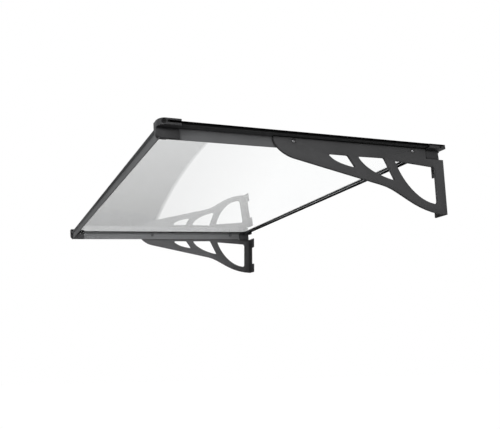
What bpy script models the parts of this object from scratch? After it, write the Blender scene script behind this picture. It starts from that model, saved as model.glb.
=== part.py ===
# Door canopy: a clear flat sheet in an aluminium frame, carried on two plate brackets.
# Metres, +Z up. X runs along the wall, the wall plane is Y = 0 and the canopy reaches toward -Y.
# The origin is on the wall plane, in the middle of the wall seal's face.

import math

import bmesh
import bpy
from mathutils import Matrix, Vector

# Whole canopy
SLOPE = math.radians(4.5)  # the roof falls toward the front
FASCIA_SPAN = 1.436  # over the outer faces of the side rails' fascias
FRONT_REACH = 0.9270  # wall plane to the front rail's fascia, along the roof
REAR_REACH = 0.0455  # wall plane to the rear rail's front edge, along the roof
SHEET_DROP = 0.0135  # origin down to the sheet's underside where it would meet the wall
GAP = 0.0003  # clearance between pieces that touch
ROUND_STEPS = 24  # sides of a round piece

# Sheet and gaskets
SHEET_THICKNESS = 0.004
GASKET_WALL = 0.001
GASKET_PROUD = 0.0005  # gasket lips past the rail's ledge

# Section that every rail shares
FASCIA_WALL = 0.0025
FASCIA_DEPTH = 0.0318  # sheet's underside down to the fascia's lower edge
LEDGE_WALL = 0.002
TOP_WALL = 0.0013
CLAMP_LEG_WALL = 0.0016
CLAMP_LEG_DROP = 0.0013

# Side rail lip, an open channel along the outside
SIDE_SLOT_DEPTH = 0.012
LIP_REACH = 0.029
LIP_ROOT_BOTTOM = -0.0009
LIP_EDGE_BOTTOM = 0.0022
LIP_EDGE_WALL = 0.0010
LIP_FLOOR_WALL = 0.0016
DRIP_GROOVE = 0.0010

# Front rail nose
FRONT_SLOT_SETBACK = 0.0105
FRONT_SLOT_DEPTH = 0.0095
NOSE_REACH = 0.0055
NOSE_BOTTOM = -0.0096
NOSE_EDGE_BOTTOM = -0.0038
NOSE_EDGE_HEIGHT = 0.0007
NOSE_TOP_SETBACK = 0.0035
NOSE_WALL = 0.0015
FRONT_PORT_SETBACK = 0.0065
FRONT_PORT_HEIGHT = 0.0045

# Rear rail
REAR_BOX_BOTTOM = -0.0057
REAR_BOX_DEPTH = 0.0125
REAR_SLOT_DEPTH = 0.011
REAR_FLANGE_DEPTH = 0.0335
REAR_FLANGE_WALL = 0.0015
PORT_BLOCK_DEPTH = 0.0115
PORT_BLOCK_BOTTOM = -0.0038
REAR_PORT_DEPTH = 0.019
REAR_PORT_HEIGHT = 0.0004

# Corner connectors
FASCIA_COVER_WALL = 0.006
SKIRT_INSET = 0.006
INNER_WALL = 0.0022
JOIN_OVERLAP = 0.003  # depth that a connector's own shapes share
RAIL_INSERT = 0.004  # front and rear rails past the side fascia
COVER_GROOVE_DEPTH = 0.005

# Front connectors
SIDE_COVER_WALL = 0.003
FRONT_COVER_WALL = 0.0021
FRONT_COVER_TOP = 0.0126
FRONT_LIP_BOTTOM = -0.0047
FRONT_SKIRT_BOTTOM = -0.0304
FRONT_SIDE_ARM = 0.0523  # along the side rail, from the front fascia
FRONT_ARM = 0.0175  # along the front rail, from the side fascia
ARM_END_ROUND = 0.003
ARM_UNDER_WALL = 0.0014  # sleeve under the front rail's nose
FRONT_RIM_WIDTH = 0.016
CORNER_ALONG = 0.026
CORNER_DEEP = 0.018
RIM_ROUND = 0.014
FRONT_GROOVE_BOTTOM = 0.0014
FRONT_GROOVE_TOP = 0.0079
FRONT_GROOVE_START = 0.0150  # from the front fascia

# Rear connectors
REAR_OUTER_PROUD = 0.0005
REAR_TOP_PROUD = 0.0004
REAR_LIP_BOTTOM = -0.0052
REAR_SKIRT_BOTTOM = -0.0340
REAR_SIDE_ARM = 0.0235
REAR_SKIRT_BACK = 0.028  # skirt's end, from the rear rail's front plane
REAR_ARM = 0.028
REAR_ARM_BOTTOM = -0.0087
REAR_END_WALL = 0.005
REAR_GROOVE_BOTTOM = 0.0030
REAR_GROOVE_ROOF = 0.0008
REAR_GROOVE_END_WALL = 0.0065

# Fasteners
SCREW_RADIUS = 0.0021
SCREW_LENGTH = 0.032
FRONT_SCREW_HEAD_RADIUS = 0.0058
REAR_SCREW_HEAD_RADIUS = 0.0040
SCREW_HEAD_HEIGHT = 0.0024
SCREW_CROWN_SHARE = 0.8  # flat crown, of the head's radius
FRONT_SCREW_RECESS = 0.0050
REAR_SCREW_RECESS = 0.0045
BOLT_RADIUS = 0.0030
BOLT_HEAD_RADIUS = 0.0060
BOLT_HEAD_HEIGHT = 0.0034
BOLT_TIP = 0.0020  # bolt past its nut
BOLT_DROP = 0.0118  # bolt axis below the sheet's underside
FRONT_BOLT_SETBACK = 0.0615  # bracket's front tip to the bolt, along the roof
REAR_BOLT_REACH = 0.1220  # wall plane to the bolt, along the roof
WASHER_RADIUS = 0.0060
WASHER_THICKNESS = 0.0014
NUT_RADIUS = 0.0056
NUT_THICKNESS = 0.0050

# Brackets, as (y, z) from the wall plane and the sheet's underside there
PLATE_THICKNESS = 0.008
PLATE_TUCK = 0.0030
PLATE_REACH = 0.6045  # along the roof, to the plate's front tip
NOTCH_REACH = 0.0696
NOTCH_CLEARANCE = 0.0010  # plate to the rear connector's skirt
PLATE_BOTTOM = -0.2125
PLATE_NOSE = ((0, -0.0720), (0.0265, -0.0955), (0.0645, -0.1030))  # nose curve, y from the reach
PLATE_HEEL_START = (-0.2380, -0.1452)
PLATE_HEEL_HANDLES = ((-0.1720, -0.1545), (-0.1220, -0.2145))
CURVE_STEPS = 12
DOME_STEPS = 5

# Bracket windows: each sweep is a cubic curve from its low end to its high end
FIRST_TOP_START = (-0.4190, -0.0740)
FIRST_SWEEP = ((-0.3390, -0.1045), (-0.3720, -0.1015), (-0.4080, -0.0965), (-0.4250, -0.0790))
FIRST_RIGHT = ((-0.3365, -0.1010), (-0.3590, -0.0714), (-0.3630, -0.0702))
SECOND_TOP_START = (-0.3185, -0.0668)
SECOND_SWEEP = ((-0.1990, -0.1258), (-0.2360, -0.1205), (-0.2970, -0.1075), (-0.3235, -0.0715))
SECOND_RIGHT = ((-0.1955, -0.1222), (-0.2295, -0.0610), (-0.2335, -0.0596))
THIRD_TOP_START = (-0.1865, -0.0625)
THIRD_SWEEP = ((-0.0500, -0.1825), (-0.1100, -0.1785), (-0.1650, -0.1270), (-0.1905, -0.0665))
THIRD_RIGHT = -0.0350
THIRD_ROUND = 0.010

# Bracket flange on the wall
FLANGE_THICKNESS = 0.005
FLANGE_WIDTH = 0.0195
TAB_WIDTH = 0.043
UPPER_TAB_HEIGHT = 0.0467
LOWER_TAB_HEIGHT = 0.043
TAB_HOLE_RADIUS = 0.0045
TAB_HOLE_INSET = 0.012

# Wall seal
SEAL_HEIGHT = 0.011
SEAL_JAW_WALL = 0.0015
SEAL_GRIP = 0.005
SEAL_TOP_DEPTH = 0.003

slot_bottom = -(GASKET_WALL + 2 * GAP)
slot_top = SHEET_THICKNESS + GASKET_WALL + 2 * GAP
ledge_bottom = slot_bottom - LEDGE_WALL
rail_top = slot_top + CLAMP_LEG_DROP + TOP_WALL
side_ledge_end = -(FASCIA_WALL + SIDE_SLOT_DEPTH)
front_ledge_end = -(FRONT_SLOT_SETBACK + FRONT_SLOT_DEPTH)
sheet_setback = 2 * GAP + GASKET_WALL  # slot's back wall to the sheet's edge
slot_cut_end = -(FRONT_SIDE_ARM + REAR_ARM)  # past the inner end of either arm
front_partition = -front_ledge_end + GAP + INNER_WALL
rear_partition = GAP + INNER_WALL
nose_edge_top = NOSE_EDGE_BOTTOM + NOSE_EDGE_HEIGHT
notch_drop = NOTCH_CLEARANCE - REAR_SKIRT_BOTTOM
port_radius = SCREW_RADIUS + GAP
bolt_hole_radius = BOLT_RADIUS + GAP
front_bolt_reach = PLATE_REACH - FRONT_BOLT_SETBACK


def clear_scene():
    for item in list(bpy.data.objects):
        bpy.data.objects.remove(item)


def material(name, colour, roughness, metallic, transmission=0.0):
    made = bpy.data.materials.new(name)
    made.use_nodes = True
    shader = made.node_tree.nodes["Principled BSDF"]
    shader.inputs["Base Color"].default_value = (*colour, 1.0)
    shader.inputs["Roughness"].default_value = roughness
    shader.inputs["Metallic"].default_value = metallic
    shader.inputs["Transmission Weight"].default_value = transmission
    made.diffuse_color = (*colour, 1.0)
    return made


def empty(name, parent=None, location=(0, 0, 0), tilt=0.0):
    made = bpy.data.objects.new(name, None)
    bpy.context.scene.collection.objects.link(made)
    made.parent = parent
    made.location = location
    made.rotation_euler.x = tilt
    return made


def on_roof(reach, height):
    # A point of the tilted roof, as (y, z) under the level frame.
    return (
        -reach * math.cos(SLOPE) - height * math.sin(SLOPE),
        -reach * math.sin(SLOPE) + height * math.cos(SLOPE),
    )


def circle(centre, radius):
    turns = [2 * math.pi * step / ROUND_STEPS for step in range(ROUND_STEPS)]
    return [(centre[0] + radius * math.cos(t), centre[1] + radius * math.sin(t)) for t in turns]


def curve(start, first_handle, second_handle, end):
    # Points of a cubic curve after its start, up to its end.
    points = []
    for step in range(1, CURVE_STEPS + 1):
        t = step / CURVE_STEPS
        weights = ((1 - t) ** 3, 3 * t * (1 - t) ** 2, 3 * t * t * (1 - t), t**3)
        handles = (start, first_handle, second_handle, end)
        points.append(tuple(sum(w * h[axis] for w, h in zip(weights, handles)) for axis in (0, 1)))
    return points


def arc(centre, radius, first_angle, last_angle, steps=6):
    angles = [first_angle + (last_angle - first_angle) * step / steps for step in range(steps + 1)]
    return [
        (centre[0] + radius * math.cos(math.radians(a)), centre[1] + radius * math.sin(math.radians(a)))
        for a in angles
    ]


def rectangle(low, high):
    return [low, (high[0], low[1]), high, (low[0], high[1])]


def grown(outline, distance):
    # The outline moved outward with mitred corners. It runs anticlockwise.
    moved = []
    for index, point in enumerate(outline):
        here = Vector(point)
        before = (here - Vector(outline[index - 1])).normalized()
        after = (Vector(outline[(index + 1) % len(outline)]) - here).normalized()
        normal_before = Vector((before.y, -before.x))
        normal_after = Vector((after.y, -after.x))
        shift = distance / (1 + normal_before.dot(normal_after))
        moved.append(tuple(here + (normal_before + normal_after) * shift))
    return moved


def prism(loops, low, high, axis):
    # The first loop is the outline, any others are holes. It is extruded along the axis.
    places = {
        "X": lambda a, b, along: (along, a, b),
        "Y": lambda a, b, along: (a, along, b),
        "Z": lambda a, b, along: (a, b, along),
    }
    place = places[axis]
    made = bmesh.new()
    rings = [[made.verts.new(place(a, b, low)) for a, b in loop] for loop in loops]
    if len(rings) == 1:
        faces = [made.faces.new(rings[0])]
    else:
        edges = [made.edges.new((ring[i - 1], ring[i])) for ring in rings for i in range(len(ring))]
        filled = bmesh.ops.triangle_fill(made, use_beauty=True, edges=edges)
        faces = [item for item in filled["geom"] if isinstance(item, bmesh.types.BMFace)]
    raised = bmesh.ops.extrude_face_region(made, geom=faces)
    for item in raised["geom"]:
        if isinstance(item, bmesh.types.BMVert):
            item.co["XYZ".index(axis)] = high
    bmesh.ops.recalc_face_normals(made, faces=made.faces)
    return made


def turned(profile):
    # A closed profile of (along X, radius) points, spun round the X axis.
    made = bmesh.new()
    points = [made.verts.new((along, 0, radius)) for along, radius in profile]
    edges = [made.edges.new((points[i - 1], points[i])) for i in range(len(points))]
    bmesh.ops.spin(
        made, geom=points + edges, cent=(0, 0, 0), axis=(1, 0, 0), angle=2 * math.pi, steps=ROUND_STEPS
    )
    bmesh.ops.remove_doubles(made, verts=made.verts, dist=1e-6)
    bmesh.ops.dissolve_degenerate(made, edges=made.edges, dist=1e-6)
    bmesh.ops.recalc_face_normals(made, faces=made.faces)
    return made


def add(name, shape, coat, parent, location=(0, 0, 0), turn=0.0):
    mesh = bpy.data.meshes.new(name)
    shape.to_mesh(mesh)
    shape.free()
    mesh.shade_smooth()
    mesh.set_sharp_from_angle(angle=math.radians(30))
    made = bpy.data.objects.new(name, mesh)
    bpy.context.scene.collection.objects.link(made)
    made.parent = parent
    made.location = location
    made.rotation_euler.z = turn
    if coat:
        mesh.materials.append(coat)
    return made


def combine(target, name, shape, operation):
    # A hidden helper at the target's own place, joined to it or cut from it.
    helper = add(name, shape, None, target.parent, target.location, target.rotation_euler.z)
    helper.hide_render = True
    helper.display_type = "WIRE"
    modifier = target.modifiers.new(name, "BOOLEAN")
    modifier.operation = operation
    modifier.object = helper


def finished(target, parent, location):
    # The target's joined and cut shape as a plain mesh, put in its place without its helpers.
    bpy.context.view_layer.update()
    graph = bpy.context.evaluated_depsgraph_get()
    mesh = bpy.data.meshes.new_from_object(target.evaluated_get(graph))
    helpers = [modifier.object for modifier in target.modifiers]
    target.modifiers.clear()
    target.data = mesh
    for helper in helpers:
        bpy.data.objects.remove(helper)
    target.parent = parent
    target.location = location


def mirrored(source, name):
    # The same piece for the other side, as a mirror image across X.
    bpy.context.view_layer.update()
    graph = bpy.context.evaluated_depsgraph_get()
    mesh = bpy.data.meshes.new_from_object(source.evaluated_get(graph))
    mesh.name = name
    mesh.transform(Matrix.Scale(-1, 4, (1, 0, 0)))
    mesh.flip_normals()
    made = bpy.data.objects.new(name, mesh)
    bpy.context.scene.collection.objects.link(made)
    made.parent = source.parent
    made.location = (-source.location.x, source.location.y, source.location.z)
    return made


def lip_underside(outward):
    climb = (LIP_EDGE_BOTTOM - LIP_ROOT_BOTTOM) / LIP_REACH
    return LIP_ROOT_BOTTOM + outward * climb


def side_envelope():
    # Side rail section without its slot and channel: (outward, up) from the fascia at the sheet's underside.
    return [
        (0, -FASCIA_DEPTH),
        (0, LIP_ROOT_BOTTOM),
        (LIP_REACH, LIP_EDGE_BOTTOM),
        (LIP_REACH, rail_top),
        (side_ledge_end, rail_top),
        (side_ledge_end, ledge_bottom),
        (-FASCIA_WALL, ledge_bottom),
        (-FASCIA_WALL, -FASCIA_DEPTH),
    ]


def side_section():
    groove = LIP_REACH / 2
    floor_edge = LIP_EDGE_BOTTOM + LIP_EDGE_WALL
    roof = rail_top - TOP_WALL
    return [
        (0, -FASCIA_DEPTH),
        (0, LIP_ROOT_BOTTOM),
        (groove - DRIP_GROOVE, lip_underside(groove - DRIP_GROOVE)),
        (groove, lip_underside(groove) + DRIP_GROOVE),
        (groove + DRIP_GROOVE, lip_underside(groove + DRIP_GROOVE)),
        (LIP_REACH, LIP_EDGE_BOTTOM),
        (LIP_REACH, floor_edge),
        (LIP_REACH - LIP_EDGE_WALL, floor_edge),
        (LIP_EDGE_WALL, LIP_ROOT_BOTTOM + LIP_FLOOR_WALL),
        (LIP_EDGE_WALL, roof),
        (LIP_REACH - LIP_EDGE_WALL, roof),
        (LIP_REACH, rail_top - LIP_EDGE_WALL),
        (LIP_REACH, rail_top),
        (side_ledge_end, rail_top),
        (side_ledge_end, slot_top),
        (side_ledge_end + CLAMP_LEG_WALL, slot_top),
        (side_ledge_end + CLAMP_LEG_WALL, roof),
        (-FASCIA_WALL, roof),
        (-FASCIA_WALL, slot_bottom),
        (side_ledge_end, slot_bottom),
        (side_ledge_end, ledge_bottom),
        (-FASCIA_WALL, ledge_bottom),
        (-FASCIA_WALL, -FASCIA_DEPTH),
    ]


def front_envelope():
    return [
        (0, -FASCIA_DEPTH),
        (0, NOSE_BOTTOM),
        (NOSE_REACH, NOSE_EDGE_BOTTOM),
        (NOSE_REACH, nose_edge_top),
        (-NOSE_TOP_SETBACK, rail_top),
        (front_ledge_end, rail_top),
        (front_ledge_end, ledge_bottom),
        (-FRONT_SLOT_SETBACK, ledge_bottom),
        (-FRONT_SLOT_SETBACK, NOSE_BOTTOM),
        (-FASCIA_WALL, NOSE_BOTTOM),
        (-FASCIA_WALL, -FASCIA_DEPTH),
    ]


def front_section():
    outline = front_envelope()
    slot = [
        (front_ledge_end, slot_top),
        (front_ledge_end + CLAMP_LEG_WALL, slot_top),
        (front_ledge_end + CLAMP_LEG_WALL, rail_top - TOP_WALL),
        (-FRONT_SLOT_SETBACK, rail_top - TOP_WALL),
        (-FRONT_SLOT_SETBACK, slot_bottom),
        (front_ledge_end, slot_bottom),
    ]
    ledge = outline.index((front_ledge_end, ledge_bottom))
    return outline[:ledge] + slot + outline[ledge:]


def front_chamber():
    # Hollow under the screw port, one wall inside the nose.
    top = FRONT_PORT_HEIGHT - port_radius
    back_slope = (NOSE_REACH + NOSE_TOP_SETBACK) / (rail_top - nose_edge_top)
    nose = [
        (-FRONT_SLOT_SETBACK, NOSE_BOTTOM),
        (0, NOSE_BOTTOM),
        (NOSE_REACH, NOSE_EDGE_BOTTOM),
        (NOSE_REACH - (top - nose_edge_top) * back_slope, top),
        (-FRONT_SLOT_SETBACK, top),
    ]
    return grown(nose, -NOSE_WALL)


def rear_envelope():
    port_back = REAR_BOX_DEPTH + PORT_BLOCK_DEPTH
    top = slot_top + REAR_FLANGE_WALL
    return [
        (0, REAR_BOX_BOTTOM),
        (REAR_BOX_DEPTH, REAR_BOX_BOTTOM),
        (REAR_BOX_DEPTH, PORT_BLOCK_BOTTOM),
        (port_back, PORT_BLOCK_BOTTOM),
        (port_back, slot_top),
        (REAR_FLANGE_DEPTH, slot_top),
        (REAR_FLANGE_DEPTH, top),
        (0, top),
    ]


def rear_section():
    slot = [
        (0, slot_top),
        (REAR_SLOT_DEPTH, slot_top),
        (REAR_SLOT_DEPTH, slot_bottom),
        (0, slot_bottom),
    ]
    return rear_envelope() + slot


def in_rail_axes(loop):
    # Outward is local -Y in a rail, up is +Z.
    return [(-outward, up) for outward, up in loop]


def gasket_section(back, lip_end):
    # U-shaped strip in a slot that opens away from the outside, from its back wall to its lips.
    outer = back - GAP
    inner = outer - GASKET_WALL
    return [
        (outer, slot_bottom + GAP),
        (outer, slot_top - GAP),
        (lip_end, slot_top - GAP),
        (lip_end, slot_top - GAP - GASKET_WALL),
        (inner, slot_top - GAP - GASKET_WALL),
        (inner, slot_bottom + GAP + GASKET_WALL),
        (lip_end, slot_bottom + GAP + GASKET_WALL),
        (lip_end, slot_bottom + GAP),
    ]


def build_sheet(roof, glass):
    half = FASCIA_SPAN / 2 - FASCIA_WALL - sheet_setback
    front = -FRONT_REACH + FRONT_SLOT_SETBACK + sheet_setback
    rear = -REAR_REACH + REAR_SLOT_DEPTH - sheet_setback
    middle = (front + rear) / 2
    outline = rectangle((-half, front - middle), (half, rear - middle))
    add("roof_sheet", prism([outline], 0, SHEET_THICKNESS, "Z"), glass, roof, (0, middle, 0))


def build_side_rail(roof, name, side, coat):
    front = -FRONT_REACH + front_partition + GAP
    rear = -REAR_REACH - REAR_SIDE_ARM - GAP
    middle = (front + rear) / 2
    half = (rear - front) / 2
    rail = add(
        name,
        prism([in_rail_axes(side_section())], -half, half, "X"),
        coat,
        roof,
        (side * FASCIA_SPAN / 2, middle, 0),
        side * math.pi / 2,
    )
    for label, reach in (("front", front_bolt_reach), ("rear", REAR_BOLT_REACH)):
        along = side * (-reach - middle)
        hole = prism([circle((along, -BOLT_DROP), bolt_hole_radius)], -LIP_REACH, LIP_REACH, "Y")
        combine(rail, f"{name}_{label}_hole", hole, "DIFFERENCE")


def build_front_rail(roof, coat):
    half = FASCIA_SPAN / 2 + RAIL_INSERT
    port = circle((-FRONT_PORT_SETBACK, FRONT_PORT_HEIGHT), port_radius)
    loops = [in_rail_axes(loop) for loop in (front_section(), front_chamber(), port)]
    add("front_rail", prism(loops, -half, half, "X"), coat, roof, (0, -FRONT_REACH, 0))


def build_rear_rail(roof, coat):
    half = FASCIA_SPAN / 2 + RAIL_INSERT
    port = circle((REAR_PORT_DEPTH, REAR_PORT_HEIGHT), port_radius)
    loops = [in_rail_axes(loop) for loop in (rear_section(), port)]
    add("rear_rail", prism(loops, -half, half, "X"), coat, roof, (0, -REAR_REACH, 0), math.pi)


def build_gaskets(roof, rubber):
    lip_end = side_ledge_end - GASKET_PROUD
    strip = in_rail_axes(gasket_section(-FASCIA_WALL, lip_end))
    front = -FRONT_REACH + FRONT_SIDE_ARM + GAP
    rear = -REAR_REACH - REAR_SIDE_ARM - GAP
    half = (rear - front) / 2
    for name, side in (("right_gasket", 1), ("left_gasket", -1)):
        place = (side * FASCIA_SPAN / 2, (front + rear) / 2, 0)
        add(name, prism([strip], -half, half, "X"), rubber, roof, place, side * math.pi / 2)
    strip = in_rail_axes(gasket_section(-FRONT_SLOT_SETBACK, front_ledge_end - GASKET_PROUD))
    half = FASCIA_SPAN / 2 - FRONT_ARM - GAP
    add("front_gasket", prism([strip], -half, half, "X"), rubber, roof, (0, -FRONT_REACH, 0))
    strip = gasket_section(REAR_SLOT_DEPTH, -GASKET_PROUD)
    half = FASCIA_SPAN / 2 - REAR_ARM - GAP
    shape = prism([in_rail_axes(strip)], -half, half, "X")
    add("rear_gasket", shape, rubber, roof, (0, -REAR_REACH, 0), math.pi)


def sheet_slot(sheet_start, sheet_end):
    # Room for the sheet in a connector, in (y, z) from the fascia planes, open toward the roof's middle.
    low = (sheet_start, -GAP)
    high = (sheet_end, SHEET_THICKNESS + GAP)
    return prism([rectangle(low, high)], slot_cut_end, -FASCIA_WALL - sheet_setback + GAP, "X")


def build_front_connector(roof, plastic):
    # Origin where the outer planes of the two fascias cross; x outward, -y forward.
    outer = LIP_REACH + SIDE_COVER_WALL
    front = -(NOSE_REACH + FRONT_COVER_WALL)
    inner = side_ledge_end - GAP - INNER_WALL
    rim = FASCIA_COVER_WALL - FRONT_RIM_WIDTH
    quarter = arc((0, 0), 1, -90, 0, 8)
    corner = [
        (outer - CORNER_ALONG * (1 - across), front + CORNER_DEEP * (1 + along)) for across, along in quarter
    ]
    plan = [
        *arc((ARM_END_ROUND - FRONT_ARM, front + ARM_END_ROUND), ARM_END_ROUND, 180, 270, 3),
        *corner,
        (outer, FRONT_SIDE_ARM),
        (inner, FRONT_SIDE_ARM),
        (inner, front_partition),
        (-FRONT_ARM, front_partition),
    ]
    body = prism([plan], FRONT_LIP_BOTTOM, FRONT_COVER_TOP, "Z")
    cover = add("front_right_connector", body, plastic, None)
    overlap = FRONT_LIP_BOTTOM + JOIN_OVERLAP
    arm_bottom = NOSE_BOTTOM - ARM_UNDER_WALL
    arm_front = -(NOSE_REACH + ARM_UNDER_WALL / 2)
    arm = [
        (front_partition, arm_bottom),
        (front_partition, overlap),
        (arm_front, overlap),
        (arm_front, NOSE_EDGE_BOTTOM - ARM_UNDER_WALL),
        (-ARM_UNDER_WALL, arm_bottom),
    ]
    combine(cover, "front_connector_arm", prism([arm], -FRONT_ARM, FASCIA_COVER_WALL, "X"), "UNION")
    round_centre = (front + RIM_ROUND, FRONT_SKIRT_BOTTOM + RIM_ROUND)
    rim_side = [
        *arc(round_centre, RIM_ROUND, 180, 270),
        (front_partition, FRONT_SKIRT_BOTTOM),
        (front_partition, overlap),
        (front, overlap),
    ]
    combine(cover, "front_connector_rim", prism([rim_side], rim, FASCIA_COVER_WALL, "X"), "UNION")
    skirt = prism(
        [rectangle((front_partition - INNER_WALL, FRONT_SKIRT_BOTTOM), (FRONT_SIDE_ARM, overlap))],
        -SKIRT_INSET,
        FASCIA_COVER_WALL,
        "X",
    )
    combine(cover, "front_connector_skirt", skirt, "UNION")

    side_room = grown(side_envelope(), GAP)
    side_cut = prism([side_room], front_partition, 2 * FRONT_SIDE_ARM, "Y")
    combine(cover, "front_connector_side_room", side_cut, "DIFFERENCE")
    front_room = in_rail_axes(grown(front_envelope(), GAP))
    front_cut = prism([front_room], -2 * FRONT_ARM, RAIL_INSERT + GAP, "X")
    combine(cover, "front_connector_front_room", front_cut, "DIFFERENCE")
    sheet_front = FRONT_SLOT_SETBACK + sheet_setback - GAP
    slot = sheet_slot(sheet_front, 2 * FRONT_SIDE_ARM)
    combine(cover, "front_connector_sheet_slot", slot, "DIFFERENCE")

    groove = rectangle((FRONT_GROOVE_START, FRONT_GROOVE_BOTTOM), (2 * FRONT_SIDE_ARM, FRONT_GROOVE_TOP))
    groove_cut = prism([groove], outer - COVER_GROOVE_DEPTH, 2 * outer, "X")
    combine(cover, "front_connector_groove", groove_cut, "DIFFERENCE")
    axis = (FRONT_PORT_SETBACK, FRONT_PORT_HEIGHT)
    hole = prism([circle(axis, port_radius)], 0, 2 * outer, "X")
    combine(cover, "front_connector_hole", hole, "DIFFERENCE")
    recess = prism(
        [circle(axis, FRONT_SCREW_HEAD_RADIUS + 2 * GAP)], outer - FRONT_SCREW_RECESS, 2 * outer, "X"
    )
    combine(cover, "front_connector_recess", recess, "DIFFERENCE")
    finished(cover, roof, (FASCIA_SPAN / 2, -FRONT_REACH, 0))
    left = mirrored(cover, "front_left_connector")
    left.data.materials.clear()
    left.data.materials.append(plastic)


def build_rear_connector(roof, plastic):
    # Origin where the side fascia's outer plane crosses the rear rail's front plane.
    # x outward, +y toward the wall.
    outer = LIP_REACH + REAR_OUTER_PROUD
    top = rail_top + REAR_TOP_PROUD
    back = REAR_FLANGE_DEPTH + REAR_END_WALL
    front = -REAR_SIDE_ARM
    arm_front = -rear_partition
    plan = [
        (side_ledge_end, front),
        (outer, front),
        (outer, back),
        (-REAR_ARM, back),
        (-REAR_ARM, arm_front),
        (side_ledge_end, arm_front),
    ]
    body = prism([plan], REAR_LIP_BOTTOM, top, "Z")
    cover = add("rear_right_connector", body, plastic, None)
    overlap = REAR_LIP_BOTTOM + JOIN_OVERLAP
    arm = prism([rectangle((-REAR_ARM, arm_front), (0, back))], REAR_ARM_BOTTOM, overlap, "Z")
    combine(cover, "rear_connector_arm", arm, "UNION")
    skirt_side = rectangle((front, REAR_SKIRT_BOTTOM), (REAR_SKIRT_BACK, overlap))
    skirt = prism([skirt_side], -SKIRT_INSET, FASCIA_COVER_WALL, "X")
    combine(cover, "rear_connector_skirt", skirt, "UNION")

    rear_room = grown(rear_envelope(), GAP)
    rear_cut = prism([rear_room], -2 * REAR_ARM, RAIL_INSERT + GAP, "X")
    combine(cover, "rear_connector_rear_room", rear_cut, "DIFFERENCE")
    sheet_rear = REAR_SLOT_DEPTH - sheet_setback + GAP
    combine(cover, "rear_connector_sheet_slot", sheet_slot(2 * front, sheet_rear), "DIFFERENCE")

    groove = rectangle(
        (2 * front, REAR_GROOVE_BOTTOM), (back - REAR_GROOVE_END_WALL, top - REAR_GROOVE_ROOF)
    )
    groove_cut = prism([groove], outer - COVER_GROOVE_DEPTH, 2 * outer, "X")
    combine(cover, "rear_connector_groove", groove_cut, "DIFFERENCE")
    axis = (REAR_PORT_DEPTH, REAR_PORT_HEIGHT)
    hole = prism([circle(axis, port_radius)], 0, 2 * outer, "X")
    combine(cover, "rear_connector_hole", hole, "DIFFERENCE")
    recess = prism(
        [circle(axis, REAR_SCREW_HEAD_RADIUS + GAP)], outer - REAR_SCREW_RECESS, 2 * outer, "X"
    )
    combine(cover, "rear_connector_recess", recess, "DIFFERENCE")
    finished(cover, roof, (FASCIA_SPAN / 2, -REAR_REACH, 0))
    left = mirrored(cover, "rear_left_connector")
    left.data.materials.clear()
    left.data.materials.append(plastic)


def corner_screw(head_radius):
    # Seen from outside: flat head at +X, shank toward -X, origin under the head.
    return turned(
        [
            (SCREW_HEAD_HEIGHT, 0),
            (SCREW_HEAD_HEIGHT, head_radius * SCREW_CROWN_SHARE),
            (SCREW_HEAD_HEIGHT / 2, head_radius),
            (0, head_radius),
            (0, SCREW_RADIUS),
            (-SCREW_LENGTH, SCREW_RADIUS),
            (-SCREW_LENGTH, 0),
        ]
    )


def build_corner_screws(roof, steel):
    lip = FASCIA_SPAN / 2 + LIP_REACH
    front = (-FRONT_REACH + FRONT_PORT_SETBACK, FRONT_PORT_HEIGHT)
    rear = (-REAR_REACH + REAR_PORT_DEPTH, REAR_PORT_HEIGHT)
    kinds = (
        ("front", front, FRONT_SCREW_HEAD_RADIUS, SIDE_COVER_WALL - FRONT_SCREW_RECESS),
        ("rear", rear, REAR_SCREW_HEAD_RADIUS, REAR_OUTER_PROUD - REAR_SCREW_RECESS),
    )
    for end, (along, up), head_radius, past_lip in kinds:
        for side_name, side in (("right", 1), ("left", -1)):
            seat = side * (lip + past_lip + GAP)
            turn = 0.0 if side == 1 else math.pi
            name = f"{end}_{side_name}_screw"
            add(name, corner_screw(head_radius), steel, roof, (seat, along, up), turn)


def bracket_outline():
    tip = on_roof(PLATE_REACH, -PLATE_TUCK)
    nose = [(back - PLATE_REACH, z) for back, z in PLATE_NOSE]
    return [
        tip,
        *curve(tip, *nose),
        PLATE_HEEL_START,
        *curve(PLATE_HEEL_START, *PLATE_HEEL_HANDLES, (0, PLATE_BOTTOM)),
        (0, on_roof(0, -notch_drop)[1]),
        (-NOTCH_REACH, on_roof(NOTCH_REACH, -notch_drop)[1]),
        (-NOTCH_REACH, on_roof(NOTCH_REACH, -PLATE_TUCK)[1]),
    ]


def window(top_start, sweep, right_side):
    return [top_start, sweep[3], *reversed(curve(*sweep)[:-1]), sweep[0], *right_side]


def bracket_windows():
    # Three openings, each with straight upper edges and one swept lower edge.
    top = THIRD_TOP_START[1]
    low = THIRD_SWEEP[0][1]
    round_x = THIRD_RIGHT - THIRD_ROUND
    third_right = [
        *arc((round_x, low + THIRD_ROUND), THIRD_ROUND, -90, 0, 4),
        *arc((round_x, top - THIRD_ROUND), THIRD_ROUND, 0, 90, 4),
    ]
    return [
        window(FIRST_TOP_START, FIRST_SWEEP, FIRST_RIGHT),
        window(SECOND_TOP_START, SECOND_SWEEP, SECOND_RIGHT),
        window(THIRD_TOP_START, THIRD_SWEEP, third_right),
    ]


def wall_flange(top):
    # (x, z) of the part of the bracket that lies on the wall, from the plate's inner face.
    upper = top - UPPER_TAB_HEIGHT
    lower = PLATE_BOTTOM + LOWER_TAB_HEIGHT
    return [
        (PLATE_THICKNESS, PLATE_BOTTOM),
        (PLATE_THICKNESS, top),
        (-TAB_WIDTH, top),
        (-TAB_WIDTH, upper),
        (-FLANGE_WIDTH, upper),
        (-FLANGE_WIDTH, lower),
        (-TAB_WIDTH, lower),
        (-TAB_WIDTH, PLATE_BOTTOM),
    ]


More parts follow.
